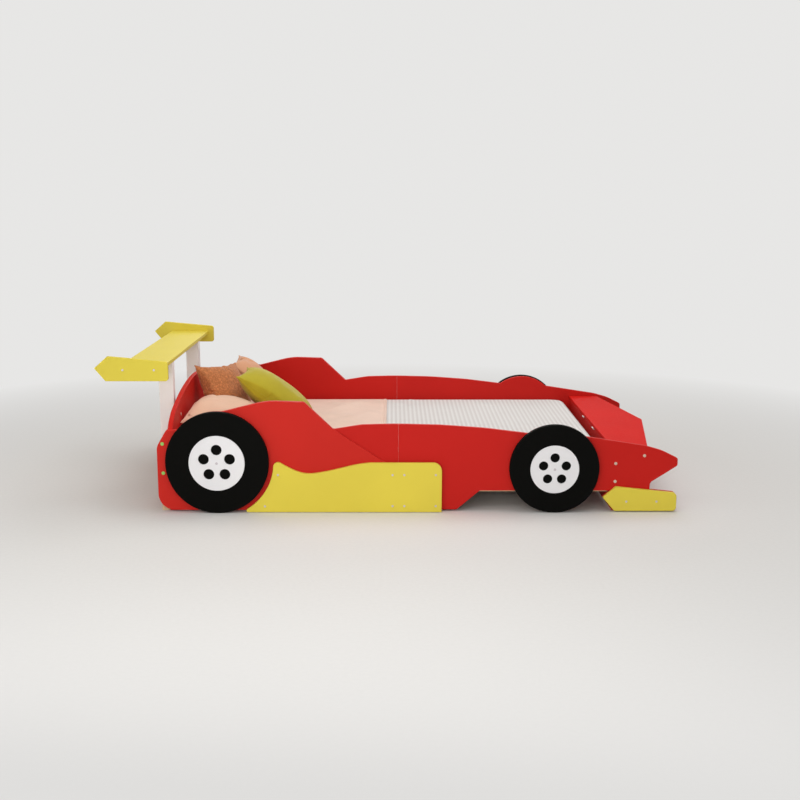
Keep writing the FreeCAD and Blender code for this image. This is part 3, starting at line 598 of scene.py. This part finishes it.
for k in range(1, steps_rim + 1):
    a = math.pi / 2 * k / steps_rim
    profile.append((half - rim + rim * math.sin(a), top - rim * (1 - math.cos(a)),
                    math.sin(a), math.cos(a)))
for k in range(1, steps_drop + 1):
    profile.append((half, top - rim - (drop - rim) * k / steps_drop, 1.0, 0.0))
profile = np.array(profile)
xs = np.concatenate((np.linspace(COVER_REAR, COVER_FINE_FROM, 150)[:-1],
                     np.linspace(COVER_FINE_FROM, COVER_FRONT, 34)))
n_across = len(profile)
x = np.repeat(xs, n_across)
y, z = np.tile(profile[:, 0], len(xs)), np.tile(profile[:, 1], len(xs))
out = np.c_[np.zeros(len(x)), np.tile(profile[:, 2], len(xs)), np.tile(profile[:, 3], len(xs))]
soft = field(np.c_[x * 1.2, y * 0.8, z * 0], 4.3, 5)
fine = field(np.c_[x, y * 0.6, z * 0], 15.0, 8, 2)
height = 0.0012 + 0.0034 * (soft + 0.5) + 0.0010 * fine
for fold in COVER_FOLDS:
    height += ridge(x, y, *fold)
rested = (1 - clean(-0.37, -0.30, x)) * (1 - clean(0.56, 0.64, y)) * clean(-0.62, -0.54, y)
height *= 1 - rested
roll = 0.0052 * np.exp(-((x + 0.0185) / 0.0065) ** 2)
roll = roll * (1 + 0.12 * np.sin(y * 41) + 0.1 * np.sin(y * 17 + 1))
flatten = 1 - clean(-0.05, -0.03, x)
height = height * np.maximum(flatten, 0.35) + roll
height = np.where(out[:, 2] > 0.999, height * clean(0.0, 0.05, FLAT_HALF + 0.01 - np.abs(y)),
                  roll * 0.4)
points = np.c_[x, y, z] + out * height[:, None]
cover_obj = mesh_object("coverlet_cloth", points, grid_faces(len(xs), n_across))
cover_obj.data.flip_normals()
thick = cover_obj.modifiers.new("thickness", "SOLIDIFY")
thick.thickness = 0.0015
thick.offset = -1
cover_obj.data.materials.append(looks["peach_cotton"])
place(cover_obj, "peach_cotton", "coverlet")

# ---------------------------------------------------------------- cushions


def turned(roll, lean, yaw):
    """The cushions' turns in part order: about X, then Y, then Z."""
    return (Matrix.Rotation(math.radians(yaw), 3, "Z") @ Matrix.Rotation(math.radians(lean), 3, "Y")
            @ Matrix.Rotation(math.radians(roll), 3, "X"))


def sewn(length, width, cells, seed, bulge=0.02):
    """Two flat sheets sewn round their edge: points, faces and the numbers of the seam's points."""
    n = cells
    us = np.linspace(-1, 1, n + 1)
    u, v = np.meshgrid(us, us)
    grid = np.c_[u.ravel() * length / 2, v.ravel() * width / 2]
    inner = ((1 - u ** 2) * (1 - v ** 2)).ravel()
    rise = inner * bulge
    uneven = field(np.c_[grid, np.zeros(len(grid))], 9.0, seed) * 0.004 * inner
    row = n + 1
    edge = [k for k in range(row)] + [k * row + n for k in range(1, row)]
    edge += [n * row + n - k for k in range(1, row)] + [(n - k) * row for k in range(1, n)]
    on_edge = set(edge)
    front = np.c_[grid, rise + uneven]
    back_of = {}
    back = []
    for k in range(row * row):
        if k in on_edge:
            back_of[k] = k
        else:
            back_of[k] = row * row + len(back)
            back.append((grid[k, 0], grid[k, 1], -rise[k] + uneven[k] * 0.7))
    faces = grid_faces(row, row)
    faces += [tuple(back_of[k] for k in reversed(f)) for f in grid_faces(row, row)]
    return np.vstack((front, back)), faces, edge


FRAMES, PRESSURE, STIFFNESS, BENDING = 26, 16, 22, 0.25


def blown(points, faces):
    """The sewn sheets after cloth simulation with air pressure and no gravity."""
    obj = mesh_object("blown", points, faces)
    cloth_mod = obj.modifiers.new("cloth", "CLOTH")
    s = cloth_mod.settings
    s.quality = 5
    s.mass = 0.25
    s.air_damping = 1.5
    s.tension_stiffness = s.compression_stiffness = STIFFNESS
    s.shear_stiffness = STIFFNESS * 0.4
    s.bending_stiffness = BENDING
    s.use_pressure = True
    s.uniform_pressure_force = PRESSURE
    s.effector_weights.gravity = 0
    scene = bpy.context.scene
    cloth_mod.point_cache.frame_start = 1
    cloth_mod.point_cache.frame_end = FRAMES
    scene.frame_start, scene.frame_end = 1, FRAMES
    for frame_number in range(1, FRAMES + 1):
        scene.frame_set(frame_number)
    shown = obj.evaluated_get(bpy.context.evaluated_depsgraph_get())
    co = np.zeros(len(shown.data.vertices) * 3)
    shown.data.vertices.foreach_get("co", co)
    scene.frame_set(1)
    mesh = obj.data
    bpy.data.objects.remove(obj)
    bpy.data.meshes.remove(mesh)
    return co.reshape(-1, 3)


def shaped(co, cells, size):
    """The blown form fitted to the cushion's length, width and thickness."""
    length, width, thick = size
    n = cells
    corners = [0, n, n * (n + 1) + n, n * (n + 1)]
    span = np.array([co[corners[1], 0] - co[corners[0], 0], co[corners[2], 1] - co[corners[1], 1]])
    co = co - co[corners].mean(0)
    co[:, 0] *= length / span[0]
    co[:, 1] *= width / span[1]
    co[:, 2] *= thick / (co[:, 2].max() - co[:, 2].min())
    co[:, 2] -= (co[:, 2].max() + co[:, 2].min()) / 2
    return co


def seated(obj, own, others, slack, gap=0.0012):
    """Keeps a cushion's mesh within slack of its own solid, and gap clear of each of the others."""
    mesh = obj.data
    co = np.zeros(len(mesh.vertices) * 3)
    mesh.vertices.foreach_get("co", co)
    co = co.reshape(-1, 3)
    own_tree = BVHTree.FromObject(own, bpy.context.evaluated_depsgraph_get())
    trees = [tree_of(o) for o in others]
    for k in range(len(co)):
        p = Vector(co[k])
        near, normal, _, _ = own_tree.find_nearest(p)
        if (p - near).dot(normal) > slack:
            p = near + (p - near).normalized() * slack
        for tree in trees:
            near, normal, _, _ = tree.find_nearest(p, 0.06)
            if near is not None and (p - near).dot(normal) < gap:
                p = near + normal * gap
        co[k] = p
    mesh.vertices.foreach_set("co", co.ravel())
    mesh.update()


def tree_of(obj):
    """The object's triangles as they show, in the bed's frame."""
    shown = obj.evaluated_get(bpy.context.evaluated_depsgraph_get())
    mesh = shown.to_mesh()
    tree = BVHTree.FromPolygons([v.co.copy() for v in mesh.vertices],
                                [tuple(p.vertices) for p in mesh.polygons])
    shown.to_mesh_clear()
    return tree


CUSHIONS = {
    "pillow_peach": dict(size=(0.340, 0.390, 0.178), waist=0.018,
                         centre=(X_HEAD + 0.181, -0.314, BED_TOP + 0.0916), turns=(4, 6, -3),
                         slot="peach_pillow", seed=3, fill=0.6, bead=0.0012,
                         creases=(((-0.98, 0.95), (-0.15, -0.05), 0.016, 0.11),
                                  ((-0.98, -0.95), (0.10, 0.10), 0.012, 0.10),
                                  ((-0.70, 0.98), (0.25, 0.35), 0.008, 0.09))),
    "cushion_orange": dict(size=(0.312, 0.300, 0.150), waist=0.026,
                           centre=(X_HEAD + 0.1443, 0.030, BED_TOP + 0.146), turns=(-8, 60, -42),
                           slot="orange_weave", seed=8, fill=0.65, bead=0.0018),
    "cushion_salmon": dict(size=(0.340, 0.340, 0.150), waist=0.020,
                           centre=(X_HEAD + 0.262, 0.370, BED_TOP + 0.136), turns=(0, 49, 0),
                           slot="salmon_cotton", seed=12, fill=0.6, bead=0.0014),
    "cushion_green": dict(size=(0.425, 0.315, 0.164), waist=0.020,
                          centre=(X_HEAD + 0.412, -0.073, BED_TOP + 0.1406), turns=(0, 35.6, -3),
                          slot="green_satin", seed=5, fill=0.6, bead=0.0014),
}
CELLS = 52


def waisted(co, cells, size, waist):
    """Moves each row and column so that the seam follows the drawn-in outline."""
    n, row = cells, cells + 1
    place_of = np.zeros((len(co), 2), int)
    inner = [(i, j) for j in range(1, n) for i in range(1, n)]
    for k in range(row * row):
        place_of[k] = (k % row, k // row)
    place_of[row * row:] = inner
    length, width, _ = size
    for axis, half in ((1, width / 2), (0, length / 2)):
        low = np.array([co[(i if axis == 1 else i * row), axis] for i in range(row)])
        high = np.array([co[(i + n * row if axis == 1 else i * row + n), axis] for i in range(row)])
        t = np.linspace(-1, 1, row)
        want = half - waist * (1 - t ** 2)
        factor = 2 * want / (high - low)
        shift = -(high + low) / 2
        lane = place_of[:, 0] if axis == 1 else place_of[:, 1]
        co[:, axis] = (co[:, axis] + shift[lane]) * factor[lane]
    return co


def puckered(points, flat, size, seed, creases):
    """Short folds that run in from the seam, and the crown that the CAD solid has."""
    length, width, thick = size
    u, v = flat[:, 0] / (length / 2), flat[:, 1] / (width / 2)
    side = np.where(flat[:, 2] < 0, -1.0, 1.0)
    crown = np.maximum((1 - np.abs(u) ** 2.4) * (1 - np.abs(v) ** 2.2), 0) ** 0.62 * thick / 2
    body = np.maximum(side * points[:, 2], 0.94 * crown)
    from_end, from_side = (1 - np.abs(u)) * length / 2, (1 - np.abs(v)) * width / 2
    fold = np.zeros(len(points))
    for reach, along, which in ((from_end, flat[:, 1], np.sign(u) * 2),
                                (from_side, flat[:, 0], np.sign(v))):
        waves = field(np.c_[along * 34 + seed, which * 9.7 + side * 3.1, reach * 6], 1.0, seed, 2)
        near = np.exp(-reach / 0.040) * (1 - np.exp(-(reach / 0.008) ** 2))
        fold += 0.0075 * waves * near
    broad = field(np.c_[flat[:, 0], flat[:, 1], side * 0.3], 7.5, seed + 1, 2)
    fold += 0.0035 * broad * np.minimum(crown / (thick / 2), 1)
    for start, end, height, reach in creases:
        fold += ridge(u, v, start, end, height, reach) * (side > 0)
    points[:, 2] = side * np.where(crown > 1e-6, np.maximum(body + fold, 0.0004), 0.0) \
        + np.where(crown > 1e-6, 0.0, points[:, 2])
    return points


def cushion_piece(name, spec, neighbours):
    length, width, thick = spec["size"]
    points, faces, edge = sewn(length, width, CELLS, spec["seed"])
    flat = points.copy()
    points = blown(points, faces)
    points = shaped(points, CELLS, spec["size"])
    points = puckered(points, flat, spec["size"], spec["seed"], spec.get("creases", ()))
    points = waisted(shaped(points, CELLS, spec["size"]), CELLS, spec["size"], spec["waist"])
    turn = turned(*spec["turns"])
    centre = Vector(spec["centre"])
    points = np.array([centre + turn @ Vector(p) for p in points])
    obj = mesh_object(name + "_cloth", points, faces)
    seated(obj, frame["nodes"][name], neighbours, 0.004)
    fine = obj.modifiers.new("subdivision", "SUBSURF")
    fine.levels = fine.render_levels = 1
    obj.data.materials.append(looks[spec["slot"]])
    place(obj, spec["slot"], name)
    line = np.array([obj.data.vertices[k].co for k in edge])
    bead = mesh_object(name + "_seam", *cord_mesh(line, spec["bead"], 6))
    bead.data.materials.append(looks[spec["slot"]])
    place(bead, spec["slot"])
    return obj


made = []
for name, spec in CUSHIONS.items():
    others = [frame["nodes"][n] for n in CUSHIONS if n != name]
    others += [frame["nodes"]["headboard"], frame["nodes"]["side_panel_rear_right"], cover_obj]
    made.append(cushion_piece(name, spec, others + made))

# ---------------------------------------------------------------- stage, light and camera

floor_rings = [0, 1.2, 2.4, 4.0, 8.0, 20.0, 40.0]
floor_points, floor_faces = [(0, 0, 0)], []
sides = 64
for r in floor_rings[1:]:
    floor_points += [(r * math.cos(2 * math.pi * k / sides),
                      r * math.sin(2 * math.pi * k / sides), 0) for k in range(sides)]
floor_faces += [(0, 1 + k, 1 + (k + 1) % sides) for k in range(sides)]
floor_faces += grid_faces(len(floor_rings) - 1, sides, 1, wrap=True)
floor = mesh_object("floor", floor_points, floor_faces, smooth=False)
for polygon in floor.data.polygons:
    if polygon.normal.z < 0:
        polygon.flip()

BACK = (0.80, 0.795, 0.785)
FADE_LENGTH = 9.0            # the floor has faded into the backdrop at 0.44 of this distance


def background_rays(tree):
    """1 for the rays that see the backdrop: straight from the camera, or by gloss or glass."""
    rays = tree.nodes.new("ShaderNodeLightPath")
    seen = rays.outputs["Is Camera Ray"]
    for kind in ("Is Glossy Ray", "Is Transmission Ray"):
        either = tree.nodes.new("ShaderNodeMath")
        either.operation = "MAXIMUM"
        tree.links.new(seen, either.inputs[0])
        tree.links.new(rays.outputs[kind], either.inputs[1])
        seen = either.outputs[0]
    return seen


m = Look("floor_pale", (0.71, 0.70, 0.685), 0.7)
m.shader.inputs["Specular IOR Level"].default_value = 0.1
speck = m.noise(60.0, 3.0)
m.set("Base Color", m.ramp(speck, [(0.3, (0.70, 0.69, 0.675)), (0.7, (0.72, 0.71, 0.695))]))
split = m.node("ShaderNodeVectorMath", operation="LENGTH")
m.link(m.place, split.inputs[0])
far = m.ramp(m.math("DIVIDE", split.outputs["Value"], FADE_LENGTH), [(0.20, 0.0), (0.44, 1.0)])
glow = m.node("ShaderNodeEmission")
glow.inputs["Color"].default_value = (*BACK, 1)
blend = m.node("ShaderNodeMixShader")
m.link(m.math("MULTIPLY", far, background_rays(m.tree)), blend.inputs["Fac"])
m.link(m.shader.outputs[0], blend.inputs[1])
m.link(glow.outputs[0], blend.inputs[2])
m.link(blend.outputs[0], m.tree.nodes["Material Output"].inputs["Surface"])
floor.data.materials.append(m.mat)

world = bpy.data.worlds.new("studio")
bpy.context.scene.world = world
world.use_nodes = True
tree = world.node_tree
tree.nodes.clear()
out = tree.nodes.new("ShaderNodeOutputWorld")
mixer = tree.nodes.new("ShaderNodeMixShader")
soft_light = tree.nodes.new("ShaderNodeBackground")
soft_light.inputs["Color"].default_value = (1.0, 0.985, 0.965, 1)
soft_light.inputs["Strength"].default_value = 0.30
backdrop = tree.nodes.new("ShaderNodeBackground")
backdrop.inputs["Color"].default_value = (*BACK, 1)
tree.links.new(background_rays(tree), mixer.inputs["Fac"])
tree.links.new(soft_light.outputs[0], mixer.inputs[1])
tree.links.new(backdrop.outputs[0], mixer.inputs[2])
tree.links.new(mixer.outputs[0], out.inputs["Surface"])


def lamp(name, where, at, size, watts, colour):
    data = bpy.data.lights.new(name, "AREA")
    data.shape = "RECTANGLE"
    data.size, data.size_y = size
    data.energy = watts
    data.color = colour
    obj = bpy.data.objects.new(name, data)
    bpy.context.scene.collection.objects.link(obj)
    obj.location = where
    obj.visible_camera = False
    obj.rotation_euler = (Vector(at) - Vector(where)).to_track_quat("-Z", "Y").to_euler()
    return obj


lamp("overhead", (0.6, 0.3, 4.2), (0, 0, 0.2), (4.5, 3.5), 122, (1.0, 0.985, 0.96))
lamp("front", (-0.6, -3.4, 2.7), (0, -0.3, 0.3), (3.2, 0.9), 22, (1.0, 0.99, 0.975))
front_low = lamp("front_low", (-0.6, -3.6, 0.85), (-0.3, -0.7, 0.30), (3.8, 0.6), 17,
                 (1.0, 0.99, 0.975))
front_low.data.spread = math.radians(115)
lamp("left_fill", (-4.6, -2.0, 2.6), (0.6, 0, 0.3), (2.5, 2.5), 30, (1.0, 0.99, 0.98))
lamp("back_fill", (0.0, 5.5, 2.6), (0, 0, 0.3), (4.0, 2.0), 40, (1.0, 0.99, 0.98))

camera_data = bpy.data.cameras.new("camera")
camera = bpy.data.objects.new("camera", camera_data)
bpy.context.scene.collection.objects.link(camera)
camera_data.lens = 54.26
camera_data.sensor_width = 36.0
camera_data.shift_x = 0.0114
camera_data.shift_y = 0.0519
camera.location = (0.012, -6.003, 1.4377)
camera.rotation_euler = (math.radians(78.09), 0, 0)
bpy.context.scene.camera = camera
bpy.context.scene.view_settings.view_transform = "Standard"
